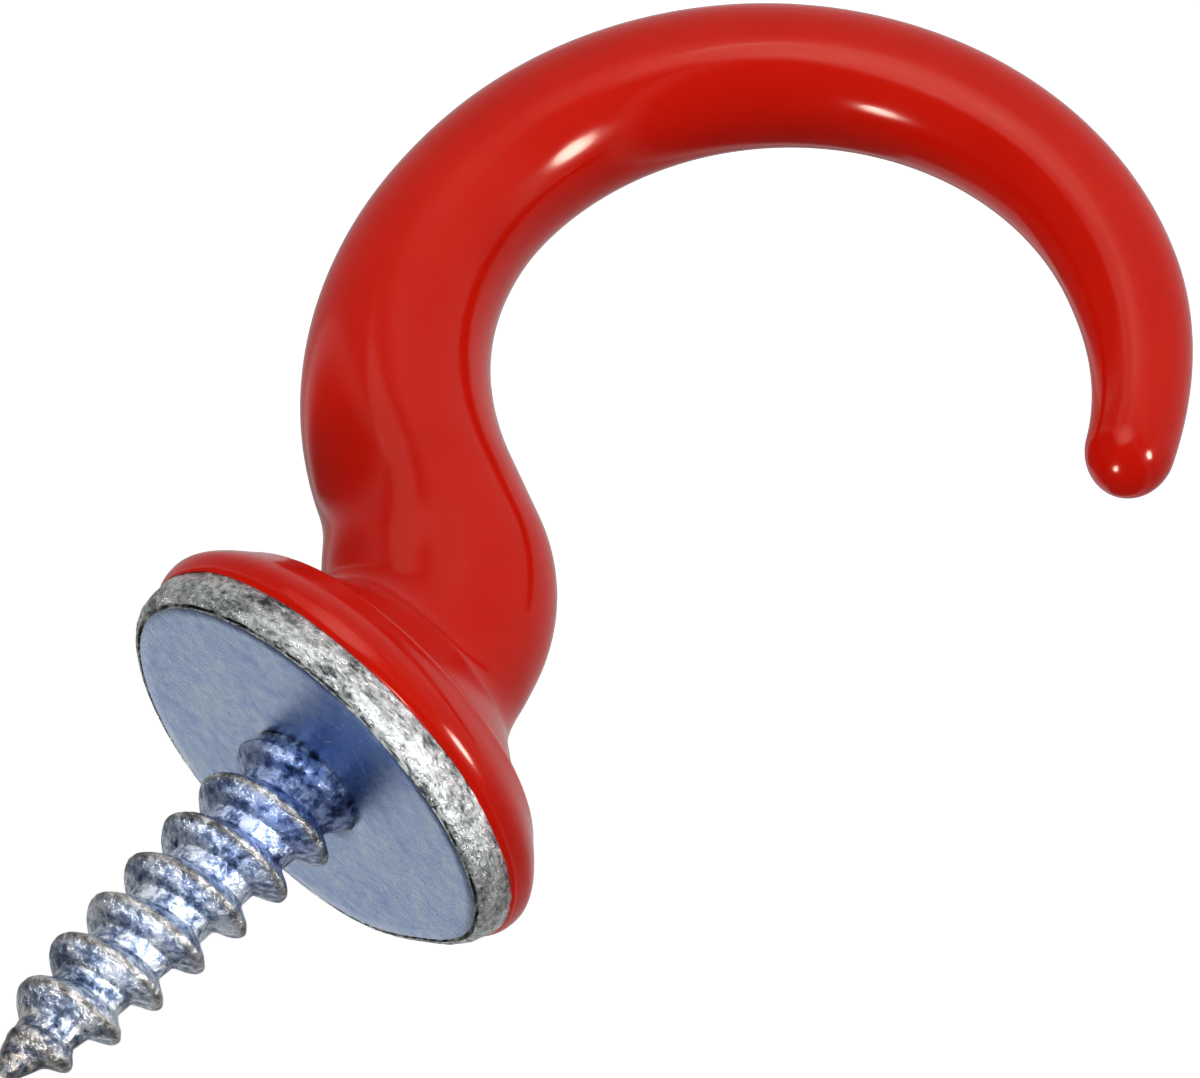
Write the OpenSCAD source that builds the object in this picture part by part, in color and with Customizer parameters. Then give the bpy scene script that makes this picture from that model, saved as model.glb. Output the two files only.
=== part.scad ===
// Screw-in cup hook: one length of steel wire that is threaded at one end and bent to a hook at the
// other, a round steel collar pressed on the wire, and a dipped vinyl coat over hook and collar.
// The origin is the centre of the collar's seat face. +Z runs along the screw to its point, and the
// hook hangs below in the XZ plane with its open side towards -X. Sizes are in millimetres.

/* [Screw] */
// Length from the collar's seat face to the screw's point
screw_len = 10.1; // [8:0.1:16]
// Diameter over the thread's crests at the collar
thread_d = 3.44; // [3.2:0.02:4.2]
// Diameter that the crests taper to along the screw, before the point rounds them off
thread_end_d = 2.46; // [2.2:0.02:3]
// Diameter at the bottom of the thread at the collar
root_d = 2.3; // [1.9:0.05:2.6]
// Diameter that the bottom tapers to along the screw
root_end_d = 1.5; // [1.2:0.05:1.8]
// Distance from one turn of the thread to the next
thread_pitch = 1.31; // [1.1:0.01:1.7]
// Width of the flat bottom between two turns
root_w = 0.38; // [0.2:0.01:0.5]
// Angle from +X at which the thread's crest meets the seat face
thread_start = 219; // [0:1:359]
// Length of the rounded point
point_len = 3.3; // [2:0.1:5]
// Diameter of the blunt end of the point
point_d = 0.34; // [0.2:0.02:0.8]

/* [Wire] */
// Diameter of the wire in the collar and in the neck
wire_d = 2.9; // [2.5:0.05:3.1]
// Diameter of the wire at the hook's tip
wire_tip_d = 1.4; // [1:0.05:2.4]
// Distance along the wire from the seat to where its taper starts
taper_start = 16; // [10:0.5:24]

/* [Hook] */
// Length of the straight foot from the collar's hub to the first bend
neck_foot = 0.45; // [0.4:0.05:2]
// Radius of the neck's bend, to the middle of the wire
neck_r = 2.9; // [2.6:0.1:4]
// Angle that the neck turns away from the screw's axis
neck_angle = 63; // [50:1:75]
// Length of the straight run between the two bends
neck_run = 1.8; // [0.5:0.1:3]
// Radius of the hook's bow, to the middle of the wire
bow_r = 8.7; // [7:0.1:12]
// Angle that the hook's bow turns through
bow_sweep = 217; // [190:1:230]

/* [Collar] */
// Diameter of the collar at its widest
collar_d = 11; // [9:0.1:14]
// Diameter of the collar's flat seat face
seat_d = 10.3; // [8.6:0.1:13.6]
// Thickness of the collar at its rim
collar_t = 1.15; // [0.9:0.05:1.5]
// Width of the flat ledge between the rim and the collar's conical hub
hub_ledge = 0.15; // [0.05:0.05:0.8]
// Angle of the hub's cone to the seat face
hub_slope = 40; // [28:1:45]
// Diameter of the hub's top, where the wire leaves the collar
hub_d = 5; // [4.4:0.1:6]
// Height over which the rim widens from the seat face
rim_flare = 0.45; // [0.3:0.05:0.8]
// Width of the countersink at the screw's foot, on each side of the wire
sink_w = 0.45; // [0.4:0.05:0.8]
// Depth of that countersink
sink_t = 0.3; // [0.1:0.05:0.5]

/* [Coat] */
// Thickness of the vinyl on the hook
coat_t = 0.5; // [0.3:0.05:0.8]
// Thickness of the vinyl on the neck, where the dip ran together
neck_coat_t = 0.88; // [0.7:0.02:1.2]
// Distance along the wire to where the thick coat starts to thin
thin_start = 9; // [7:0.5:12]
// Distance along the wire to where the coat has its thin end size
thin_end = 18.5; // [15:0.5:24]
// Thickness of the vinyl on the back of the collar
back_coat_t = 0.35; // [0.3:0.05:0.8]
// Thickness of the vinyl around the collar's rim
rim_coat_t = 0.12; // [0.1:0.01:0.5]
// How much of the rim's height the vinyl covers
rim_lap = 0.35; // [0.1:0.05:0.6]
// Length over which the coat's cone runs out into the neck
flare_len = 2.6; // [1:0.1:3]
// How far the vinyl fills the tight inner side of the neck's bend
web_t = 0.4; // [0.1:0.05:0.5]
// Thickness of the vinyl past the end of the wire
end_coat_t = 1.2; // [0.6:0.05:1.8]

/* [Hidden] */
// Points around every ring of the swept wire and coat, and rings in one turn of the thread
ring_n = 20;
// Angle between two rings of a swept bend
bend_step = 9;
// Power of the wire's taper: 1 is a straight cone, more leaves the wire thicker for longer
taper_form = 1.3;
// Power that hollows the thread's flanks
flank_form = 1.4;
// Number of rings that round off the free end of the coat and of the wire
end_rings = 5;
// Clearance between the wire and the round bores that it passes through
fit_gap = 0.02;
// Straight pieces in each quarter curve of the coat's turned foot
curve_steps = 8;
// Turns over which the thread grows out of the plain wire at the collar
runout_turns = 0.8;
// Share of the coat's thickness that its tube starts with, well inside the turned foot
tuck = 0.9;

wire_r = wire_d / 2;
// How far the wire's rounded end stands out from its last full ring
wire_bulge = wire_tip_d / 4;
rim_r = collar_d / 2;
hub_h = collar_t + (rim_r - hub_ledge - hub_d / 2) * tan(hub_slope);
foot_len = hub_h + neck_foot;
neck_arc = neck_r * neck_angle * PI / 180;
bow_arc = bow_r * bow_sweep * PI / 180;
neck_end = foot_len + neck_arc;
bow_start = neck_end + neck_run;
hook_len = bow_start + bow_arc;
bore_r = wire_r + fit_gap;
// The coat's cone lies its thickness outside the hub's, and would meet the plain neck here
back_h = collar_t + back_coat_t / cos(hub_slope);
cone_top = back_h + (rim_r - hub_ledge - wire_r - neck_coat_t) * tan(hub_slope);
flare_top = cone_top + flare_len / 2;
// The swept tube starts inside the turned foot, which ends inside the tube where the first bend starts
tube_start = hub_h + neck_foot / 4;
// The web stands out most a quarter of the way round the neck's bend
web_top = foot_len + neck_arc / 4;

// Eased step from 0 at a to 1 at b
function ease(x, a, b) = let(t = min(1, max(0, (x - a) / (b - a)))) t * t * (3 - 2 * t);

// Centre line of the wire at a distance s from the seat face: x, z and heading in the XZ plane
function centre_line(s) =
    s <= foot_len ? [0, -s, -90] :
    s <= neck_end ? let(t = (s - foot_len) / neck_arc * neck_angle)
        [neck_r * (1 - cos(t)), -foot_len - neck_r * sin(t), t - 90] :
    let(
        h = neck_angle - 90,
        x0 = neck_r * (1 - cos(neck_angle)),
        z0 = -foot_len - neck_r * sin(neck_angle),
        run = min(s, bow_start) - neck_end,
        x1 = x0 + run * cos(h),
        z1 = z0 + run * sin(h)
    )
    s <= bow_start ? [x1, z1, h] :
    let(t = (s - bow_start) / bow_arc * bow_sweep)
        [x1 + bow_r * (sin(h) + cos(h + 90 - t)), z1 + bow_r * (-cos(h) + sin(h + 90 - t)), h - t];

// Radius of the wire and of the coat outside it at a distance s from the seat face
function wire_r_at(s) = wire_r
    - (wire_r - wire_tip_d / 2) * pow(max(0, s - taper_start) / (hook_len - taper_start), taper_form);
function coat_r_at(s) = wire_r_at(s) + neck_coat_t + flare_at(s)
    - (neck_coat_t - coat_t) * ease(s, thin_start, thin_end);
// How far the coat's cone stands out from the plain neck: straight, then curved until it runs out
function flare_at(s) =
    let(d = flare_top - s)
    d <= 0 ? 0 : (d < flare_len ? d * d / flare_len / 2 : d - flare_len / 2) / tan(hub_slope);

// How far the vinyl web stands out, on the inner side of the neck's bend only
function web_at(s) = web_t * ease(s, tube_start, web_top) * (1 - ease(s, web_top, bow_start));

// One ring of points around the centre line, with a web towards the inner side of the neck's bend
function ring(s, radius, web = 0) =
    let(c = centre_line(s))
    [for (j = [0:ring_n - 1]) let(a = 360 * j / ring_n, r = radius + web * pow(max(0, cos(a)), 2))
        [c[0] - r * cos(a) * sin(c[2]), r * sin(a), c[1] + r * cos(a) * cos(c[2])]];

// Distances from the seat face at which the swept tubes have a ring
function spread(from, to, n) = [for (i = [1:n]) from + (to - from) * i / n];
function stations(from) = concat(
    [from],
    spread(from, foot_len, 3),
    spread(foot_len, neck_end, ceil(neck_angle / bend_step)),
    spread(neck_end, bow_start, 1),
    spread(bow_start, hook_len, ceil(bow_sweep / bend_step))
);

// Rings of a tube from a distance on, with a rounded free end that reaches over by its bulge
function tube_rings(from, extra, bulge, web = function(s) 0) = concat(
    [for (s = stations(from)) ring(s, wire_r_at(s) + extra(s), web(s))],
    [for (i = [1:end_rings - 1]) let(a = 90 * i / end_rings)
        ring_past_end(bulge * sin(a), (wire_r_at(hook_len) + extra(hook_len)) * cos(a))]
);
function ring_past_end(d, r) =
    let(c = centre_line(hook_len))
    [for (p = ring(hook_len, r)) p + d * [cos(c[2]), 0, sin(c[2])]];
function end_point(d) =
    let(c = centre_line(hook_len))
    [c[0] + d * cos(c[2]), 0, c[1] + d * sin(c[2])];

// Faces that join rings k and k + 1 of a stack of rings, seen from outside
function side_faces(first, count) = [
    for (k = [0:count - 2]) for (j = [0:ring_n - 1])
        let(a = first + k * ring_n + j, b = first + k * ring_n + (j + 1) % ring_n)
        for (f = [[a, b, a + ring_n], [b, b + ring_n, a + ring_n]]) f
];
function turned_over(faces) = [for (f = faces) [f[2], f[1], f[0]]];
// Fan from a ring to one point
function fan(first, tip) = [for (j = [0:ring_n - 1]) [tip, first + j, first + (j + 1) % ring_n]];

// Thread: how far the surface stands out, from 0 at the root to 1 at the rounded crest
function thread_form(phase) =
    let(
        flat = root_w / thread_pitch,
        off = abs(phase - 0.5) * 2
    )
    pow(sin(90 * min(1, max(0, (off - flat) / (1 - flat)))), flank_form);
// Radius of the screw at height z and angle a
function screw_r(z, a) =
    let(
        turns = z / thread_pitch - (a - thread_start) / 360,
        along = z / screw_len,
        root = (root_d + (root_end_d - root_d) * along) / 2,
        crest = (thread_d + (thread_end_d - thread_d) * along) / 2,
        grown = ease(z, 0, runout_turns * thread_pitch),
        r = root + (crest - root) * thread_form(turns - floor(turns)),
        t = max(0, 1 - (screw_len - z) / point_len),
        shrink = sqrt(1 - t * t * (1 - pow(point_d / root_end_d, 2)))
    )
    (wire_r + (r - wire_r) * grown) * shrink;
screw_rings = floor(screw_len / thread_pitch * ring_n);
function screw_ring(k) =
    let(z = screw_len - k * thread_pitch / ring_n)
    [for (j = [0:ring_n - 1]) let(a = 360 * j / ring_n, r = screw_r(z, a)) [r * cos(a), r * sin(a), z]];

// Steel wire: pointed screw, shank in the collar and the bent hook inside the coat
module hook_wire() {
    hook = tube_rings(0, function(s) 0, wire_bulge);
    rings = concat([for (k = [0:screw_rings - 1]) screw_ring(k)], hook);
    tip = len(rings) * ring_n;
    points = concat(
        [for (r = rings) for (p = r) p],
        [[0, 0, screw_len + point_d / 4], end_point(wire_bulge)]
    );
    color("#9aa7bd")
        polyhedron(
            points = points,
            faces = concat(
                turned_over(fan(0, tip)),
                side_faces(0, len(rings)),
                fan(tip - ring_n, tip + 1)
            ),
            convexity = 10
        );
}

// Steel collar, turned about the screw's axis
module collar() {
    color("#8b9cb8")
        mirror([0, 0, 1])
            rotate_extrude($fn = 96)
                polygon([
                    [bore_r, sink_t], [bore_r + sink_w, 0], [seat_d / 2, 0],
                    [rim_r, rim_flare], [rim_r, collar_t], [rim_r - hub_ledge, collar_t],
                    [hub_d / 2, hub_h], [bore_r, hub_h]
                ]);
}

// Turned part of the coat: bead around the rim and cone over the hub, with the collar's room in it
module coat_foot() {
    lap_r = rim_r + rim_coat_t;
    edge_w = lap_r - rim_r + hub_ledge;
    lap = [for (i = [0:curve_steps]) let(a = 90 * i / curve_steps)
        [rim_r + rim_coat_t * sin(a), collar_t - rim_lap * cos(a)]];
    edge = [for (i = [1:curve_steps]) let(a = 90 * i / curve_steps)
        [lap_r - edge_w * (1 - cos(a)), collar_t + (back_h - collar_t) * sin(a)]];
    cone = [for (i = [1:2 * curve_steps])
        let(h = back_h + (foot_len - back_h) * i / curve_steps / 2, r = coat_r_at(h))
        [r - (r * (1 - cos(180 / ring_n)) + fit_gap) * max(0, h - hub_h) / neck_foot, h]];
    mirror([0, 0, 1])
        rotate_extrude($fn = 96)
            polygon(concat(
                lap, edge, cone,
                [[bore_r, foot_len], [bore_r, hub_h], [hub_d / 2, hub_h]],
                [[rim_r - hub_ledge, collar_t], [rim_r, collar_t]]
            ));
}

// Vinyl coat: turned foot and the hollow tube that follows the wire to its closed end
module vinyl_coat() {
    skin = tube_rings(
        tube_start, function(s) (coat_r_at(s) - wire_r_at(s)) * (s > tube_start ? 1 : tuck), end_coat_t,
        function(s) web_at(s)
    );
    bore = tube_rings(tube_start, function(s) 0, wire_bulge);
    skin_n = len(skin) * ring_n;
    bore_n = len(bore) * ring_n;
    tip = skin_n + bore_n;
    points = concat(
        [for (r = skin) for (p = r) p],
        [for (r = bore) for (p = r) p],
        [end_point(end_coat_t), end_point(wire_bulge)]
    );
    mouth = [for (j = [0:ring_n - 1]) let(k = (j + 1) % ring_n)
        for (f = [[j, skin_n + j, k], [k, skin_n + j, skin_n + k]]) f];
    color("#c02a1c") {
        coat_foot();
        polyhedron(
            points = points,
            faces = concat(
                side_faces(0, len(skin)),
                fan(skin_n - ring_n, tip),
                turned_over(side_faces(skin_n, len(bore))),
                turned_over(fan(tip - ring_n, tip + 1)),
                mouth
            ),
            convexity = 10
        );
    }
}

hook_wire();
collar();
vinyl_coat();
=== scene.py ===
# %% [markdown]
# # A screw-in cup hook
# This hook is one steel wire that is threaded at one end and bent at the other. A round steel
# collar sits on it, and a thick red vinyl skin was dipped over hook and collar. The notebook loads
# the CAD model as a fixed frame, then builds each piece again with finer curves and real finishes.

# %% Load the frame
import math

import bmesh
import bpy
import numpy as np
from mathutils import Matrix, Vector, noise


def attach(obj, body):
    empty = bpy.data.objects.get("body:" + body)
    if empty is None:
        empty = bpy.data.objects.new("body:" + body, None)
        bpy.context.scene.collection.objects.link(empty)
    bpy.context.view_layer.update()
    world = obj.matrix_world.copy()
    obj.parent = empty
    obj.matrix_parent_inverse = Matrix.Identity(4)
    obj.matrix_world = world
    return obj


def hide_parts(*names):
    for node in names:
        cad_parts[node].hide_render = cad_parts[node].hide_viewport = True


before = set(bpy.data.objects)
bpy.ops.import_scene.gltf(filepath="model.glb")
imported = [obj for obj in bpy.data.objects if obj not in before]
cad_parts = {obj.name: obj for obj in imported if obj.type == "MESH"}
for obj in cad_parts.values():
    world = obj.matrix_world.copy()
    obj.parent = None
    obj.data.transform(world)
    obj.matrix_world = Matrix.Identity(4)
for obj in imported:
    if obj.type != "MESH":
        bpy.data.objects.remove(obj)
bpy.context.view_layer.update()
MM = 0.001
print("CAD nodes:", sorted(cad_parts))

# %% [markdown]
# ## Sizes
# The pieces are measured in millimetres. Their main sizes are the same as in the CAD model, so that
# they lie where the solids are. The seat face of the collar is at z = 0, the screw points up along
# +Z, and the hook hangs below it in the XZ plane.

# %% Sizes of the collar
RIM_R, SEAT_R = 5.5, 5.15
COLLAR_T = 1.15
LEDGE = 0.15
HUB_R = 2.5
CONE_SLOPE = math.radians(40)
HUB_TOP = COLLAR_T + (RIM_R - LEDGE - HUB_R) * math.tan(CONE_SLOPE)
print(f"hub of the collar: {HUB_TOP:.2f} mm high")

# %% Sizes of the wire and its bends
WIRE_R = 1.45
TIP_R = 0.7
TAPER_START = 16.0
TAPER_FORM = 1.3
FOOT = HUB_TOP + 0.45
NECK_R, NECK_TURN = 2.9, 63.0
RUN = 1.8
BOW_R, BOW_TURN = 8.7, 217.0

NECK_END = FOOT + NECK_R * math.radians(NECK_TURN)
BOW_START = NECK_END + RUN
HOOK_END = BOW_START + BOW_R * math.radians(BOW_TURN)
print(f"wire below the seat: {HOOK_END:.2f} mm along its middle")

# %% [markdown]
# ## The path of the wire
# A bent wire is easiest to describe by the distance along it. One function returns, for any such
# distance, the point on the middle line and the direction in which the wire runs there. The same
# function then serves the wire and the skin, so the two can't drift apart. A Bezier curve with a
# bevel would be quicker to draw, but it can't change its section at the collar.

# %% The middle line
def middle_line(s):
    """Point x, z and heading in degrees at s mm from the seat face, measured along the wire."""
    if s <= FOOT:
        return 0.0, -s, -90.0
    turn = math.radians(min((s - FOOT) / (NECK_END - FOOT), 1) * NECK_TURN)
    x, z = NECK_R * (1 - math.cos(turn)), -FOOT - NECK_R * math.sin(turn)
    heading = math.degrees(turn) - 90
    if s <= NECK_END:
        return x, z, heading
    run = min(s, BOW_START) - NECK_END
    h = math.radians(heading)
    x, z = x + run * math.cos(h), z + run * math.sin(h)
    if s <= BOW_START:
        return x, z, heading
    back = (s - BOW_START) / BOW_R
    x += BOW_R * (math.sin(h) - math.sin(h - back))
    z += BOW_R * (math.cos(h - back) - math.cos(h))
    return x, z, heading - math.degrees(back)


def ease(x, a, b):
    """Smooth step from 0 at a to 1 at b."""
    t = min(max((x - a) / (b - a), 0), 1)
    return t * t * (3 - 2 * t)


def wire_radius(s):
    along = max(0.0, s - TAPER_START) / (HOOK_END - TAPER_START)
    return WIRE_R - (WIRE_R - TIP_R) * along**TAPER_FORM


x, z, heading = middle_line(HOOK_END)
print(f"the wire ends at x {x:.2f}, z {z:.2f} mm, heading {heading:.0f} degrees")

# %% [markdown]
# ## Helpers that skin rings
# Screw, collar and skin are all stacks of closed rings. The helpers put such rings into a mesh, join
# each ring to the next with four-sided faces, and close an end with a fan of triangles. Four-sided
# faces shade smoothly and keep the mesh light.

# %% Put rings into a mesh
def add_ring(bm, points):
    return [bm.verts.new(Vector(p) * MM) for p in points]


def join_rings(bm, low, high):
    n = len(low)
    for j in range(n):
        bm.faces.new((low[j], low[(j + 1) % n], high[(j + 1) % n], high[j]))


def close_ring(bm, ring):
    n = len(ring)
    middle = bm.verts.new(sum((v.co for v in ring), Vector()) / n)
    for j in range(n):
        bm.faces.new((ring[j], ring[(j + 1) % n], middle))


def finish_piece(name, bm):
    """Turn the faces outwards, shade them smoothly and put the piece into the scene."""
    mesh = bpy.data.meshes.new(name)
    bmesh.ops.recalc_face_normals(bm, faces=bm.faces)
    for f in bm.faces:
        f.smooth = True
    bm.to_mesh(mesh)
    bm.free()
    piece = bpy.data.objects.new(name, mesh)
    bpy.context.collection.objects.link(piece)
    print(f"{name}: {len(mesh.vertices)} points, {len(mesh.polygons)} faces")
    return piece


print("ring helpers ready")


# %% Skin a stack of rings
def skin_rings(name, rings, cap=True):
    """A closed piece from rings of points in mm. With cap=False the last ring joins the first."""
    bm = bmesh.new()
    rows = [add_ring(bm, ring) for ring in rings]
    for low, high in zip(rows, rows[1:]):
        join_rings(bm, low, high)
    if cap:
        close_ring(bm, rows[0])
        close_ring(bm, rows[-1])
    else:
        join_rings(bm, rows[-1], rows[0])
    return finish_piece(name, bm)


def wire_ring(s, radius, count, lift=0.0):
    """A ring square to the wire at s. lift moves it on along the wire, past the end."""
    x, z, heading = middle_line(s)
    h = math.radians(heading)
    x, z = x + lift * math.cos(h), z + lift * math.sin(h)
    ring = []
    for j in range(count):
        a = 2 * math.pi * j / count
        side, out = radius * math.sin(a), radius * math.cos(a)
        ring.append((x - out * math.sin(h), side, z + out * math.cos(h)))
    return ring


print("a ring of 8 points starts at", [round(c, 2) for c in wire_ring(0.0, WIRE_R, 8)[0]])

# %% [markdown]
# ## The screw and the bent wire
# The thread is rolled into the wire, so it is one surface whose radius changes with height and
# angle. A spiral made with the Screw modifier would be a separate strip that has to be merged. Here
# each point of a fine cylinder is simply moved to the thread's radius. The crest runs out at the
# collar and fades before the point. The plating on such a hook is lumpy, so a little noise moves
# the surface as well.

# %% Sizes of the thread
SCREW_LEN = 10.1
CREST_R, CREST_END_R = 1.72, 1.23
ROOT_R, ROOT_END_R = 1.15, 0.75
PITCH = 1.31
ROOT_FLAT = 0.38 / PITCH
THREAD_START = 219.0
FLANK_FORM = 1.4
RUNOUT = 0.55 * PITCH
POINT_LEN, POINT_R = 3.3, 0.17
FADE_START, FADE_END, FADE_SHARE = 8.95, 9.5, 0.85
print(f"crest {CREST_R:.2f} mm at the collar, {CREST_R / 2 + CREST_END_R / 2:.2f} mm at mid length")


# %% Radius of the screw
def thread_rise(z, angle):
    """0 in the valley of the thread, rising evenly to 1 on its crest."""
    turns = z / PITCH - (math.degrees(angle) - THREAD_START) / 360
    off = abs(turns - math.floor(turns) - 0.5) * 2
    return min(max((off - ROOT_FLAT) / (1 - ROOT_FLAT), 0), 1)


def screw_radius(z, angle):
    """Radius of the threaded surface at height z and angle, before the lumps."""
    form = math.sin(math.pi / 2 * thread_rise(z, angle)) ** FLANK_FORM
    along = z / SCREW_LEN
    root = ROOT_R + (ROOT_END_R - ROOT_R) * along
    crest = CREST_R + (CREST_END_R - CREST_R) * along
    crest -= FADE_SHARE * (crest - root) * ease(z, FADE_START, FADE_END)
    radius = WIRE_R + (root + (crest - root) * form - WIRE_R) * ease(z, 0, RUNOUT)
    t = max(0.0, 1 - (SCREW_LEN - z) / POINT_LEN)
    return radius * math.sqrt(1 - t * t * (1 - (POINT_R / ROOT_END_R) ** 2))


print(f"radius at half length {screw_radius(SCREW_LEN / 2, 0):.2f} mm")

# %% Points of the screw, with lumps
AROUND = 144
LUMP_T = 0.028
BROAD_PER_MM, FINE_PER_MM, FINE_SHARE = 1.7, 6.0, 0.55
SMOOTH_POINT = (0.1, 0.8)
SMOOTH_FOOT = (0.0, 0.6)


def lumps(x, y, z):
    """Uneven plating: broad dents and finer grains, between about -1 and 1."""
    broad = noise.noise(Vector((x, y, z)) * BROAD_PER_MM)
    fine = noise.noise(Vector((x, y, z)) * FINE_PER_MM)
    return broad + FINE_SHARE * fine


def screw_ring(z):
    ring = []
    for j in range(AROUND):
        a = 2 * math.pi * j / AROUND
        r = screw_radius(z, a)
        x, y = r * math.cos(a), r * math.sin(a)
        r += LUMP_T * lumps(x, y, z) * ease(r, *SMOOTH_POINT) * ease(z, *SMOOTH_FOOT)
        ring.append((r * math.cos(a), r * math.sin(a), z))
    return ring


print("points round the screw:", len(screw_ring(SCREW_LEN / 2)))

# %% Screw and hook in one stack
SCREW_STEPS, HOOK_STEPS, TIP_STEPS = 380, 90, 6
LAST_SCREW_Z = 0.02

wire_rings = []
for i in range(SCREW_STEPS + 1):
    wire_rings.append(screw_ring(SCREW_LEN - (SCREW_LEN - LAST_SCREW_Z) * i / SCREW_STEPS))
for i in range(HOOK_STEPS + 1):
    s = HOOK_END * i / HOOK_STEPS
    wire_rings.append(wire_ring(s, wire_radius(s), AROUND))
for i in range(1, TIP_STEPS):
    a = math.radians(90 * i / TIP_STEPS)
    wire_rings.append(wire_ring(HOOK_END, TIP_R * math.cos(a), AROUND, TIP_R / 2 * math.sin(a)))
hook_wire = skin_rings("threaded_wire", wire_rings)

# %% [markdown]
# ## Marks for the finish
# The crests of the thread are rubbed bare, and the valleys keep their blue. A material can't know
# where a crest is, so each point of the mesh carries its height on the thread as an attribute.

# %% Mark crests and valleys
MARK_START = 0.2

marks = hook_wire.data.attributes.new("thread_height", "FLOAT", "POINT")
for i, v in enumerate(hook_wire.data.vertices):
    z = v.co.z / MM
    if z > 0:
        rise = thread_rise(z, math.atan2(v.co.y, v.co.x))
        marks.data[i].value = rise * ease(z, MARK_START, RUNOUT)
print("marked", len(marks.data), "points with their height on the thread")

# %% [markdown]
# ## The collar
# The collar was stamped from sheet steel and tumbled before plating. Its face is flat, but its edge
# isn't a true circle, its rim is rough, and a fine seam runs between face and rim, whose groove
# carries painted shade. A lathe profile describes it: a list of radius and depth pairs that is
# turned about the screw's axis. The Screw modifier can turn a profile as well, but code can bend and
# roughen the rim while it turns.

# %% Profile of the collar
TURN = 240
BORE_R = WIRE_R + 0.02
CHAMFER, CHAMFER_Z = 0.06, 0.05
FACE_START, FACE_W = BORE_R + CHAMFER, SEAT_R - BORE_R - 0.1
FACE_STEPS, RIM_STEPS, SIDE_STEPS = 12, 12, 6
# how far each point of the seam lies outside the seat's edge, and how deep
SEAM_FORM = ((-0.02, 0.02), (0.0, 0.11), (0.06, 0.13), (0.09, 0.04), (0.13, 0.03))
RIM_START = SEAT_R + SEAM_FORM[-1][0]
RIM_START_Z, RIM_DROP, SIDE_Z = 0.05, 0.55, 0.62

# depth is measured down from the seat face
collar_profile = [(BORE_R, HUB_TOP), (BORE_R, CHAMFER_Z), (FACE_START, 0.0)]
for i in range(1, FACE_STEPS + 1):
    collar_profile.append((FACE_START + FACE_W * i / FACE_STEPS, 0.0))
seam_start = len(collar_profile)
collar_profile += [(SEAT_R + out, depth) for out, depth in SEAM_FORM]
for i in range(1, RIM_STEPS + 1):
    a = math.pi / 2 * i / RIM_STEPS
    collar_profile.append((RIM_START + (RIM_R - RIM_START) * math.sin(a),
                           RIM_START_Z + RIM_DROP * (1 - math.cos(a))))
for i in range(1, SIDE_STEPS + 1):
    collar_profile.append((RIM_R, SIDE_Z + (COLLAR_T - SIDE_Z) * i / SIDE_STEPS))
collar_profile += [(RIM_R - LEDGE, COLLAR_T), (HUB_R, HUB_TOP)]
print(f"collar profile: {len(collar_profile)} points")


# %% Turn a profile
def turned(profile, count, shift=None):
    """Rings from a profile. shift may move each point: it gets radius, depth and angle."""
    rings = []
    for r, depth in profile:
        ring = []
        for j in range(count):
            a = 2 * math.pi * j / count
            rr, dd = shift(r, depth, a) if shift else (r, depth)
            ring.append((rr * math.cos(a), rr * math.sin(a), -dd))
        rings.append(ring)
    return rings


print("a plain turned collar would have", len(turned(collar_profile, TURN)), "rings")

# %% [markdown]
# ## The rough, uneven rim
# Stamping left one bulge and one flat on the edge, and tumbling left dents and grains on the rim.
# The bulge and the flat are humps of a bell curve round the edge, and noise makes the grain. The
# bend fades out before the vinyl's lap begins, and the grain fades out under the lap.

# %% Bend and roughen the rim
LAP = 0.27
BULGE, BULGE_AT, BULGE_WIDE = 0.24, 48, 34
FLAT, FLAT_AT, FLAT_WIDE = 0.4, 131, 26
EDGE_GROWTH = 0.04
BEND_FROM, BEND_Z = BORE_R + 0.5, 0.4
GRAIN_T, GRAIN_PER_MM = 0.025, 5.0
DENT_T, DENTS_PER_MM, DENT_SHIFT = 0.03, 1.6, Vector((7, 0, 0))
ROUGH_FROM, ROUGH_TO = SEAT_R - 0.12, SEAT_R + 0.1
RIM_LOSS = 0.03


def hump(angle, middle, width):
    off = (math.degrees(angle) - middle + 180) % 360 - 180
    return math.exp(-(off / width) ** 2)


def uneven_edge(a):
    """How far the stamped edge departs from a true circle, in mm."""
    return BULGE * hump(a, BULGE_AT, BULGE_WIDE) - FLAT * hump(a, FLAT_AT, FLAT_WIDE) + EDGE_GROWTH


def rough_rim(r, depth, a):
    """Only the rim is rough: the seat face and the hub keep their form."""
    share = ease(r, ROUGH_FROM, ROUGH_TO) * (1 - ease(depth, COLLAR_T - 0.1, COLLAR_T))
    p = Vector((r * math.cos(a), r * math.sin(a), depth))
    grain = GRAIN_T * noise.noise(p * GRAIN_PER_MM)
    grain += DENT_T * noise.noise(p * DENTS_PER_MM + DENT_SHIFT)
    bent = ease(r, BEND_FROM, SEAT_R) * (1 - ease(depth, BEND_Z, COLLAR_T - LAP))
    return r + share * (grain - RIM_LOSS) + uneven_edge(a) * bent, depth + share * 0.5 * grain


collar = skin_rings("plated_collar", turned(collar_profile, TURN, rough_rim), cap=False)

# %% [markdown]
# ## The vinyl skin
# Dipped vinyl has no edges: it runs together in corners, and it bridges the tight inner side of the
# neck. On the collar's back it stands up as a soft cushion that ends in a crease. A distance field
# gives this. The tube, the straight bridge across the bend and the cushioned cone over the collar
# each say how far a point is from them, and a smooth minimum melts the three together. The bridge
# gets thinner towards the bow, so that it ends in the tube without a crease. Rays from the middle
# of each ring then find where the melted field is zero, so the mesh keeps neat rings, which a voxel
# remesh wouldn't.

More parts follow.
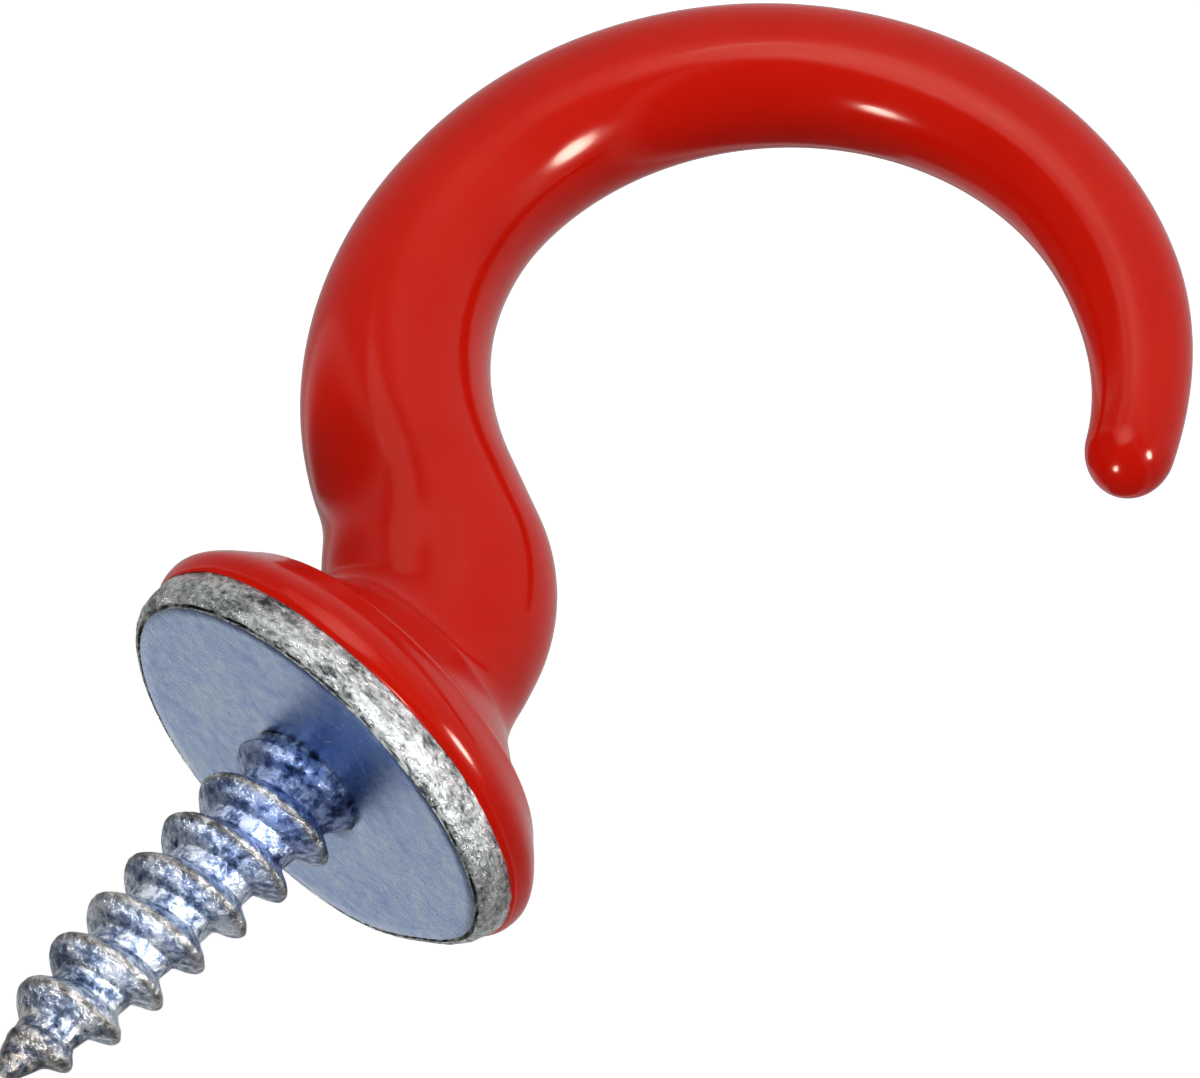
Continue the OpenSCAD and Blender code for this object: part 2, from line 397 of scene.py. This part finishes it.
# %% Sizes of the skin
SIDES = 128
COAT_T, NECK_COAT_T = 0.5, 0.88
THIN_START, THIN_END = 9.0, 18.5
SLIMMER, SLIM_RUN = 0.12, 5.0
BACK_T = 0.35
CONE_R, CONE_Z = RIM_R - LEDGE, COLLAR_T + BACK_T / math.cos(CONE_SLOPE)
CUSHION_T, CUSHION_IN, CUSHION_OUT, CUSHION_FORM = 0.32, 4.15, 5.6, 0.8


def coat_radius(s):
    thick = NECK_COAT_T - (NECK_COAT_T - COAT_T) * ease(s, THIN_START, THIN_END)
    return (wire_radius(s) + thick) * (1 - SLIMMER * ease(s, HOOK_END - SLIM_RUN, HOOK_END))


def back_depth(r):
    """Depth of the skin's back at radius r: a cone with a cushion on it that ends in a crease."""
    t = np.clip((r - CUSHION_IN) / (CUSHION_OUT - CUSHION_IN), 0, 1)
    cushion = CUSHION_T * np.sin(math.pi * t**CUSHION_FORM) ** 2
    return CONE_Z + (CONE_R - r) * math.tan(CONE_SLOPE) + cushion


print(f"skin at the neck {2 * coat_radius(FOOT):.2f} mm across,",
      f"at the tip {2 * coat_radius(HOOK_END):.2f} mm")

# %% Fields that melt together
LINE_S = np.linspace(-1.0, 16.0, 171)
LINE = np.array([middle_line(s)[:2] if s > 0 else (0.0, -s) for s in LINE_S])
LINE_R = np.array([coat_radius(max(s, 0)) for s in LINE_S])
BRIDGE_A = np.array(middle_line(FOOT)[:2])
BRIDGE_B = np.array(middle_line(BOW_START)[:2])
BRIDGE_R, BRIDGE_FADE = coat_radius(FOOT), 0.26
BRIDGE_MELT, CONE_MELT = 0.3, 0.5


def melt(a, b, k):
    """Smooth minimum of two distances. k is the width of the fillet in mm."""
    h = np.clip(0.5 + 0.5 * (b - a) / k, 0, 1)
    return b + (a - b) * h - k * h * (1 - h)


def skin_field(p):
    """Distance outside the skin, for an array of points x, y, z in mm."""
    flat, side = p[:, [0, 2]], p[:, 1]
    to_line = ((flat[:, None] - LINE[None]) ** 2).sum(2) + side[:, None] ** 2
    tube = (np.sqrt(to_line) - LINE_R[None]).min(1)
    ab = BRIDGE_B - BRIDGE_A
    t = np.clip(((flat - BRIDGE_A) @ ab) / (ab @ ab), 0, 1)
    to_bridge = ((flat - BRIDGE_A - t[:, None] * ab) ** 2).sum(1) + side**2
    thinner = BRIDGE_FADE * np.clip(2 * t - 1, 0, 1) ** 2
    bridge = np.sqrt(to_bridge) - BRIDGE_R + thinner
    cone = (-p[:, 2] - back_depth(np.hypot(p[:, 0], side))) * math.cos(CONE_SLOPE)
    return melt(melt(tube, bridge, BRIDGE_MELT), cone, CONE_MELT)


outer_side = np.array([[-coat_radius(FOOT), 0, -FOOT]])
print(f"field on the neck's outer side: {skin_field(outer_side)[0]:.3f} mm")

# %% [markdown]
# ## Rings of the melted neck
# The rings fan out: the first ones lie level on the cone, and they turn to be square to the wire
# only after the bend. So no two of them cross, although the neck bends tightly. Along each ray the
# skin is found by halving the distance again and again between a point inside and one outside.

# %% Where the rings lie
BEAD_END = 4.9
FAN_START, FAN_END = 2.9, 9.8
NECK_MIDDLE, TUBE_START = 4.6, 12.0
CONE_START = float(back_depth(BEAD_END))
neck_stations = np.concatenate([np.linspace(CONE_START, NECK_MIDDLE, 80),
                                np.linspace(NECK_MIDDLE, TUBE_START, 80)[1:]])


def plane_heading(s):
    if s >= FAN_END:
        return middle_line(s)[2]
    return -90 + (middle_line(FAN_END)[2] + 90) * ease(s, FAN_START, FAN_END)


print(f"rings turn from {plane_heading(FAN_START):.0f} to {plane_heading(FAN_END):.0f} degrees")

# %% Find the skin along rays
RAY_NEAR, RAY_FAR, HALVINGS = 0.5, 6.5, 26


def melted_ring(s):
    x, z, _ = middle_line(s)
    h = math.radians(plane_heading(s))
    a = 2 * np.pi * np.arange(SIDES) / SIDES
    way = np.stack([-np.cos(a) * math.sin(h), np.sin(a), np.cos(a) * math.cos(h)], 1)
    middle = np.array([x, 0.0, z])
    near, far = np.full(SIDES, RAY_NEAR), np.full(SIDES, RAY_FAR)
    for _ in range(HALVINGS):
        half = (near + far) / 2
        inside = skin_field(middle + half[:, None] * way) < 0
        near, far = np.where(inside, half, near), np.where(inside, far, half)
    return [tuple(p) for p in middle + near[:, None] * way]


neck_rings = [melted_ring(s) for s in neck_stations]
print(f"{len(neck_rings)} rings on cone and neck")

# %% [markdown]
# ## The lap round the rim, the bow and the tip
# The skin starts as a thin lap on the collar's rim, swells to a bead and runs over into the cone.
# The lap's edge is where the hook was held back from the dip, so it wanders a little. Past the neck
# the skin is a plain round tube that thins out, and a slightly long half ball closes it. The skin
# has a wall, so inner rings run back along the wire to the rim.

# %% Rings of the bead
BEAD_R, BEAD_Z = RIM_R + 0.12, COLLAR_T + 0.12
LAP_TUCK = 0.02
LAP_STEPS, BEAD_STEPS = 8, 16
GRIP = 0.35
LAP_WANDER, WANDERS = 0.09, 2.2


def bead_profile():
    """Radius and depth from the lap's edge on the rim, over the bead, to the cone."""
    points = []
    for i in range(LAP_STEPS + 1):
        a = math.radians(90 * i / LAP_STEPS)
        points.append((RIM_R - LAP_TUCK + (BEAD_R - RIM_R + LAP_TUCK) * math.sin(a),
                       BEAD_Z - (LAP + BEAD_Z - COLLAR_T) * math.cos(a)))
    start, end = Vector((BEAD_R, BEAD_Z)), Vector((BEAD_END, CONE_START))
    run = Vector((-0.02, float(back_depth(BEAD_END - 0.02)) - CONE_START)).normalized()
    ease_out, ease_in = Vector((BEAD_R, BEAD_Z + GRIP)), end - GRIP * run
    for i in range(1, BEAD_STEPS):
        t = i / BEAD_STEPS
        u = 1 - t
        p = u**3 * start + 3 * u**2 * t * ease_out + 3 * u * t * t * ease_in + t**3 * end
        points.append((p.x, p.y))
    return points


def wandering_lap(r, depth, a):
    share = 1 - ease(depth, COLLAR_T - LAP, COLLAR_T)
    drift = noise.noise(Vector((WANDERS * math.cos(a), WANDERS * math.sin(a), 3.0)))
    return r, depth + LAP_WANDER * share * drift


bead_rings = turned(bead_profile(), SIDES, wandering_lap)
print(f"{len(bead_rings)} rings on lap and bead")

# %% Rings of bow and tip
BOW_STEPS, BALL_STEPS = 130, 15
TIP_BULGE = 1.2

bow_rings = []
for s in np.linspace(TUBE_START, HOOK_END, BOW_STEPS + 1)[1:]:
    bow_rings.append(wire_ring(s, coat_radius(s), SIDES))
for i in range(1, BALL_STEPS):
    a = math.radians(90 * i / BALL_STEPS)
    bow_rings.append(wire_ring(HOOK_END, coat_radius(HOOK_END) * math.cos(a), SIDES,
                               TIP_BULGE * math.sin(a)))
print(f"{len(bow_rings)} rings on bow and tip")

# %% Inner rings
WIRE_GAP, COLLAR_GAP = 0.01, 0.005
INNER_STEPS = 120

inner_rings = []
for i in range(TIP_STEPS - 1, 0, -1):
    a = math.radians(90 * i / TIP_STEPS)
    inner_rings.append(wire_ring(HOOK_END, TIP_R * math.cos(a) + WIRE_GAP, SIDES,
                                 TIP_R / 2 * math.sin(a)))
for s in np.linspace(HOOK_END, HUB_TOP, INNER_STEPS):
    inner_rings.append(wire_ring(s, wire_radius(s) + WIRE_GAP, SIDES))
inner_rings += turned([(HUB_R, HUB_TOP + COLLAR_GAP), (RIM_R - LEDGE, COLLAR_T + COLLAR_GAP),
                       (RIM_R + COLLAR_GAP, COLLAR_T)], SIDES)
print(f"{len(inner_rings)} rings inside")


# %% Close the skin
def closed_skin(name, outer, inner):
    """A skin with a wall: outer rings from the lap to the tip, inner rings from the tip back."""
    bm = bmesh.new()
    outer_rows = [add_ring(bm, ring) for ring in outer]
    inner_rows = [add_ring(bm, ring) for ring in inner]
    for rows in (outer_rows, inner_rows):
        for low, high in zip(rows, rows[1:]):
            join_rings(bm, low, high)
    join_rings(bm, inner_rows[-1], outer_rows[0])
    close_ring(bm, outer_rows[-1])
    close_ring(bm, inner_rows[0])
    return finish_piece(name, bm)


vinyl = closed_skin("vinyl_skin", bead_rings + neck_rings + bow_rings, inner_rings)

# %% [markdown]
# ## Helpers for materials
# A material is a small graph of nodes. The helpers keep the recipes short: one starts a material
# and returns its main shader, one adds a node, sets its values and joins its inputs, and one makes
# a colour ramp from a list of stops.

# %% Material helpers
def new_material(name):
    mat = bpy.data.materials.new(name)
    mat.use_nodes = True
    return mat, mat.node_tree, mat.node_tree.nodes["Principled BSDF"]


def add(tree, kind, inputs=None, **settings):
    """Add a node. inputs maps a socket's name or number to a value or to another socket."""
    node = tree.nodes.new(kind)
    for key, value in settings.items():
        setattr(node, key, value)
    for key, value in (inputs or {}).items():
        if isinstance(value, bpy.types.NodeSocket):
            tree.links.new(value, node.inputs[key])
        else:
            node.inputs[key].default_value = value
    return node


def ramp(tree, factor, stops):
    """A colour ramp with stops of (position, colour)."""
    node = add(tree, "ShaderNodeValToRGB", {"Fac": factor})
    elements = node.color_ramp.elements
    while len(elements) < len(stops):
        elements.new(0.5)
    for element, (position, colour) in zip(elements, stops):
        element.position = position
        element.color = (*colour, 1)
    return node.outputs["Color"]


def on_the_piece(tree):
    """Places in the piece's own space, in metres, so that a pattern stays where it is."""
    return add(tree, "ShaderNodeTexCoord").outputs["Object"]


def grains(tree, place, per_metre, detail, roughness=0.5):
    inputs = {"Vector": place, "Scale": per_metre, "Detail": detail, "Roughness": roughness}
    return add(tree, "ShaderNodeTexNoise", inputs).outputs["Fac"]


def spread(tree, value, low, high):
    """Stretch the middle of a noise over the range from low to high."""
    inputs = {"Value": value, "From Min": 0.3, "From Max": 0.7, "To Min": low, "To Max": high}
    return add(tree, "ShaderNodeMapRange", inputs).outputs["Result"]


print("material helpers ready")

# %% [markdown]
# ## Glossy red vinyl
# Vinyl is a coloured plastic: the colour comes from inside it, and the gloss is a clear, weak
# mirror on top. A low roughness gives the tight highlights, and a low, slightly warm specular level
# keeps the red deep. Very faint waves in the surface bend the highlights as on a dipped part.

# %% Red vinyl
def red_vinyl():
    mat, tree, shader = new_material("red_dipped_vinyl")
    place = on_the_piece(tree)
    cloud = grains(tree, place, 260.0, 2.0)
    reds = ramp(tree, cloud, [(0.3, (0.51, 0.005, 0.001)), (0.7, (0.55, 0.008, 0.002))])
    tree.links.new(reds, shader.inputs["Base Color"])
    haze = grains(tree, place, 900.0, 3.0)
    tree.links.new(spread(tree, haze, 0.11, 0.17), shader.inputs["Roughness"])
    waves = grains(tree, place, 320.0, 1.0)
    bump = add(tree, "ShaderNodeBump", {"Height": waves, "Strength": 0.05, "Distance": 0.0003})
    tree.links.new(bump.outputs["Normal"], shader.inputs["Normal"])
    shader.inputs["Specular IOR Level"].default_value = 0.2
    shader.inputs["Specular Tint"].default_value = (1.0, 0.88, 0.72, 1)
    shader.inputs["IOR"].default_value = 1.5
    return mat


VINYL = red_vinyl()
print("vinyl:", VINYL.name)

# %% [markdown]
# ## Zinc plating
# The steel is plated with zinc and passivated blue. On the smooth seat face it is satin with a
# mottled tint. On the stamped rim and on the thread the same plating is rough and sparkles, because
# every grain faces another way. The seam round the face is painted near black, as painted shade in
# its groove. One recipe makes them all: tints, roughness and grain are its settings.

# %% Recipe for zinc plating
GRAIN_DEPTH = 0.00006


def zinc(name, tints, rough, grain, grain_size, mottle, patches, squash=1.0):
    """tints are the stops of a mottle. mottle and patches are its fine and its broad scale.
    squash flattens every grain along the screw's axis, so that it runs round the collar."""
    mat, tree, shader = new_material(name)
    inputs = {"Vector": on_the_piece(tree), "Scale": (1.0, 1.0, squash)}
    place = add(tree, "ShaderNodeMapping", inputs).outputs["Vector"]
    small, broad = grains(tree, place, mottle, 6.0, 0.7), grains(tree, place, patches, 3.0, 0.6)
    cloud = add(tree, "ShaderNodeMix", {0: 0.4, 2: small, 3: broad}).outputs[0]
    colour = ramp(tree, cloud, tints)
    tree.links.new(colour, shader.inputs["Base Color"])
    fine = grains(tree, place, grain_size, 6.0, 0.7)
    tree.links.new(spread(tree, fine, *rough), shader.inputs["Roughness"])
    inputs = {"Height": fine, "Strength": grain, "Distance": GRAIN_DEPTH}
    bump = add(tree, "ShaderNodeBump", inputs)
    tree.links.new(bump.outputs["Normal"], shader.inputs["Normal"])
    shader.inputs["Metallic"].default_value = 1.0
    return mat, tree, shader, colour


print("zinc recipe ready")

# %% Three finishes of the collar
FACE = zinc("satin_zinc_face",
            [(0.38, (0.165, 0.25, 0.51)), (0.47, (0.24, 0.34, 0.56)), (0.6, (0.33, 0.44, 0.57))],
            rough=(0.12, 0.3), grain=0.3, grain_size=9000.0, mottle=2600.0, patches=500.0)[0]
RIM = zinc("rough_zinc_rim",
           [(0.38, (0.05, 0.053, 0.055)), (0.44, (0.24, 0.255, 0.26)),
            (0.50, (0.46, 0.48, 0.48)), (0.57, (0.76, 0.78, 0.78))],
           rough=(0.16, 0.4), grain=1.0, grain_size=6500.0, mottle=4200.0, patches=900.0,
           squash=2.2)[0]
# painted shade: the groove of the seam between face and rim is painted near black
SEAM = zinc("painted_shade_in_the_seam",
            [(0.42, (0.015, 0.015, 0.02)), (0.5, (0.06, 0.065, 0.07)), (0.56, (0.5, 0.5, 0.48))],
            rough=(0.3, 0.5), grain=0.6, grain_size=9000.0, mottle=4000.0, patches=1500.0)[0]
print("collar finishes:", FACE.name, RIM.name, SEAM.name)

# %% [markdown]
# ## The thread's finish
# The thread starts from the same recipe. A second ramp runs along the screw and multiplies the
# tint: next to the collar it makes the plating darker and bluer, which is painted shade under the
# collar on top of the plating's blue, and at the point it fades to a bare brownish grey. The height
# marks then blend in a worn, warm grey on the crests.

# %% Thread
THREAD, tree, shader, plated = zinc(
    "sparkling_zinc_thread",
    [(0.39, (0.02, 0.03, 0.055)), (0.44, (0.14, 0.19, 0.32)),
     (0.49, (0.40, 0.47, 0.61)), (0.54, (0.95, 0.97, 1.0))],
    rough=(0.12, 0.34), grain=1.0, grain_size=5200.0, mottle=4200.0, patches=1000.0)
place = on_the_piece(tree)
up_the_screw = add(tree, "ShaderNodeSeparateXYZ", {0: place}).outputs["Z"]
inputs = {"Value": up_the_screw, "From Min": 0.0, "From Max": SCREW_LEN * MM}
along = add(tree, "ShaderNodeMapRange", inputs).outputs["Result"]
# darker and bluer next to the collar: the plating's blue with painted shade under the collar;
# brownish grey at the point
blue_and_collar_shade = ramp(tree, along, [(0.05, (0.56, 0.68, 1.0)), (0.35, (0.84, 0.89, 0.96)),
                                (0.8, (0.95, 0.96, 0.96)), (0.95, (0.66, 0.57, 0.48))])
tinted = add(tree, "ShaderNodeMix", {0: 1.0, 6: plated, 7: blue_and_collar_shade},
             data_type="RGBA", blend_type="MULTIPLY").outputs[2]
print("thread finish:", THREAD.name)

# %% Worn crests
height = add(tree, "ShaderNodeAttribute", attribute_name="thread_height").outputs["Fac"]
inputs = {"Value": height, "From Min": 0.66, "From Max": 0.92}
worn = add(tree, "ShaderNodeMapRange", inputs).outputs["Result"]
spots = grains(tree, place, 2600.0, 8.0, 0.75)
bare = ramp(tree, spots, [(0.4, (0.10, 0.095, 0.095)), (0.5, (0.34, 0.32, 0.30)),
                          (0.6, (0.80, 0.79, 0.77))])
worn_colour = add(tree, "ShaderNodeMix", {0: worn, 6: tinted, 7: bare}, data_type="RGBA")
tree.links.new(worn_colour.outputs[2], shader.inputs["Base Color"])
print("crests blend from height", worn.node.inputs["From Min"].default_value)

# %% [markdown]
# ## Finishes on the pieces
# Skin and wire have one finish each. The collar has three: the level faces are satin, the bands of
# the seam carry painted shade, and all the rest is rough. Its faces were made ring by ring, so a
# face's number says in which band of the profile it lies.

# %% Put the finishes on the pieces
LEVEL, FACE_DEPTH = 0.98, 0.015
SEAM_BANDS = 3

vinyl.data.materials.append(VINYL)
hook_wire.data.materials.append(THREAD)
for finish in (FACE, RIM, SEAM):
    collar.data.materials.append(finish)
for i, face in enumerate(collar.data.polygons):
    band = i // TURN - seam_start
    if face.normal.z > LEVEL and face.center.z / MM > -FACE_DEPTH:
        face.material_index = 0
    else:
        # the bands of the seam get the painted shade
        face.material_index = 2 if 0 <= band < SEAM_BANDS else 1
print("rim faces:", sum(f.material_index == 1 for f in collar.data.polygons))

# %% [markdown]
# ## Put each piece in place of its solid
# Each piece rides on the one rigid body, and the solid that it was made from is hidden.

# %% Hand the pieces to the frame
for piece, node, slot in ((hook_wire, "hook_wire", "zinc_steel"), (collar, "collar", "zinc_steel"),
                          (vinyl, "vinyl_coat", "red_vinyl")):
    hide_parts(node)
    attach(piece, "root")
    print(piece.name, "stands for", node)

# %% [markdown]
# ## The floor
# The hook is a thing that hangs, so the floor lies well below it. It is plain and pale. Its own
# colour takes the shadow, and a share of light that only camera, mirror and glass rays see lifts it
# to white.

# %% Floor
FLOOR_Z = -0.1
FLOOR_SIZE = 6
CAMERA_LIFT, MIRROR_LIFT = 0.75, 0.12


def mirror_or_glass(tree, path):
    """1 for a ray that a mirror or a glass sends, else 0."""
    rays = {0: path.outputs["Is Transmission Ray"], 1: path.outputs["Is Glossy Ray"]}
    return add(tree, "ShaderNodeMath", rays, operation="MAXIMUM").outputs[0]


bpy.ops.mesh.primitive_plane_add(size=FLOOR_SIZE, location=(0, 0, FLOOR_Z))
floor = bpy.context.object
floor.name = "floor"
mat, tree, shader = new_material("pale_floor")
shader.inputs["Base Color"].default_value = (0.85, 0.85, 0.85, 1)
shader.inputs["Roughness"].default_value = 0.9
shader.inputs["Specular IOR Level"].default_value = 0.0
path = add(tree, "ShaderNodeLightPath")
camera_ray = path.outputs["Is Camera Ray"]
seen = add(tree, "ShaderNodeMath", {0: camera_ray, 1: mirror_or_glass(tree, path)},
           operation="MAXIMUM")
strength = add(tree, "ShaderNodeMapRange", {"Value": camera_ray, "To Min": MIRROR_LIFT,
                                            "To Max": CAMERA_LIFT})
lift = add(tree, "ShaderNodeEmission", {"Color": (1, 1, 1, 1),
                                        "Strength": strength.outputs["Result"]})
lifted = add(tree, "ShaderNodeAddShader", {0: shader.outputs[0], 1: lift.outputs[0]})
mix = add(tree, "ShaderNodeMixShader", {"Fac": seen.outputs[0], 1: shader.outputs[0],
                                        2: lifted.outputs[0]})
tree.links.new(mix.outputs[0], tree.nodes["Material Output"].inputs["Surface"])
floor.data.materials.append(mat)
print("floor at", FLOOR_Z, "m")

# %% [markdown]
# ## The room
# The world is the room round the hook. The camera sees it white. A mirror sees a bright horizon
# under a darker ceiling, which gives the vinyl and the zinc their soft light and dark bands. For
# all other rays it is a dim grey that gets brighter towards the top.

# %% World
HORIZON, CEILING, CEILING_FROM = 0.85, 0.12, 0.2
ROOM_BELOW, ROOM_ABOVE = 0.06, 0.35

world = bpy.data.worlds.new("studio")
bpy.context.scene.world = world
world.use_nodes = True
tree = world.node_tree
path = add(tree, "ShaderNodeLightPath")
way = add(tree, "ShaderNodeTexCoord").outputs["Generated"]
up = add(tree, "ShaderNodeSeparateXYZ", {0: way}).outputs["Z"]
wall = add(tree, "ShaderNodeMapRange", {"Value": up, "From Min": 0.0, "From Max": CEILING_FROM,
                                        "To Min": HORIZON, "To Max": CEILING},
           interpolation_type="SMOOTHSTEP")
room = add(tree, "ShaderNodeMapRange", {"Value": up, "From Min": -1.0, "From Max": 1.0,
                                        "To Min": ROOM_BELOW, "To Max": ROOM_ABOVE})
level = add(tree, "ShaderNodeMix", {0: mirror_or_glass(tree, path), 2: room.outputs["Result"],
                                    3: wall.outputs["Result"]})
level = add(tree, "ShaderNodeMix", {0: path.outputs["Is Camera Ray"], 2: level.outputs[0], 3: 1.0})
tree.links.new(level.outputs[0], tree.nodes["Background"].inputs["Strength"])
tree.nodes["Background"].inputs["Color"].default_value = (1, 1, 1, 1)
print("world: white for the camera, with a bright horizon for mirrors")

# %% [markdown]
# ## Lamps
# Large soft lamps light a product photograph. The glossy skin shows each of them as a streak, so
# their places are chosen by where the streaks should lie. A lamp that gives enough light on the
# colour would make too hard a streak, so the two jobs are split: fills light the colour and show in
# no mirror, and windows, streaks and halos show only as gloss. Ellipses give streaks soft ends. The
# panel behind the hook is weak enough to do both.

# %% Lamps
HOOK_MIDDLE = Vector((0, 0, -0.012))


def lamp(name, azimuth, elevation, width, height, watts, distance=0.2, shows="both"):
    """A lamp that looks at the hook. Azimuth counts from +X towards +Y, both angles in degrees."""
    a, e = math.radians(azimuth), math.radians(elevation)
    way = Vector((math.cos(a) * math.cos(e), math.sin(a) * math.cos(e), math.sin(e)))
    light = bpy.data.lights.new(name, "AREA")
    light.shape = "ELLIPSE" if shows == "gloss" else "RECTANGLE"
    light.size, light.size_y, light.energy = width, height, watts
    holder = bpy.data.objects.new(name, light)
    bpy.context.collection.objects.link(holder)
    holder.location = HOOK_MIDDLE + distance * way
    holder.rotation_euler = way.to_track_quat("Z", "Y").to_euler()
    holder.visible_camera = False
    holder.visible_diffuse = shows != "gloss"
    holder.visible_glossy = shows != "colour"
    print(f"{name}: at {[round(c * 1000) for c in holder.location]} mm")


lamp("front_fill", -80, 0, 0.06, 0.1, 0.185, shows="colour")
lamp("front_window", -80, 0, 0.07, 0.12, 0.075, shows="gloss")
lamp("window_glow", -78, -4, 0.13, 0.2, 0.08, shows="gloss")
lamp("window_halo", -72, -15, 0.34, 0.42, 0.4, distance=0.3, shows="gloss")
lamp("side_fill", -160, -13, 0.03, 0.03, 0.11, shows="colour")
lamp("side_streak", -154, -14, 0.06, 0.042, 0.4, shows="gloss")
lamp("side_halo", -156, -16, 0.16, 0.16, 0.1, distance=0.3, shows="gloss")
lamp("top_fill", -120, 72, 0.03, 0.03, 0.14, shows="colour")
lamp("top_streak", -120, 72, 0.03, 0.045, 0.42, shows="gloss")
lamp("rear_panel", 64, 20, 0.14, 0.14, 0.039, distance=0.25)

# %% [markdown]
# ## Camera
# The camera stands where the photograph was taken from: a long way off for so small a thing, which
# keeps its proportions true. It looks slightly down and is rolled, so the screw points to the lower
# left of the picture.

# %% Camera
BACK = Vector((-0.4077, -0.8433, 0.3502)).normalized()
UP = Vector((0.5417, -0.5321, -0.6507))
RIGHT = UP.cross(BACK).normalized()
UP = BACK.cross(RIGHT)
MIDDLE_RIGHT, MIDDLE_UP = 6.69, 5.515
DISTANCE = 222

camera_data = bpy.data.cameras.new("camera")
camera_data.lens = 292.2
camera_data.sensor_width = 36.0
camera_data.clip_start, camera_data.clip_end = 0.01, 20.0
camera = bpy.data.objects.new("camera", camera_data)
bpy.context.collection.objects.link(camera)
place = DISTANCE * MM * BACK
middle = (MIDDLE_RIGHT * RIGHT + MIDDLE_UP * UP) * MM
back = (place - middle).normalized()
right = UP.cross(back).normalized()
turn = Matrix((right, back.cross(right), back)).transposed()
camera.matrix_world = Matrix.Translation(place) @ turn.to_4x4()
bpy.context.scene.camera = camera
bpy.context.scene.view_settings.view_transform = "Standard"
print("camera at", [round(c / MM, 1) for c in place], "mm")
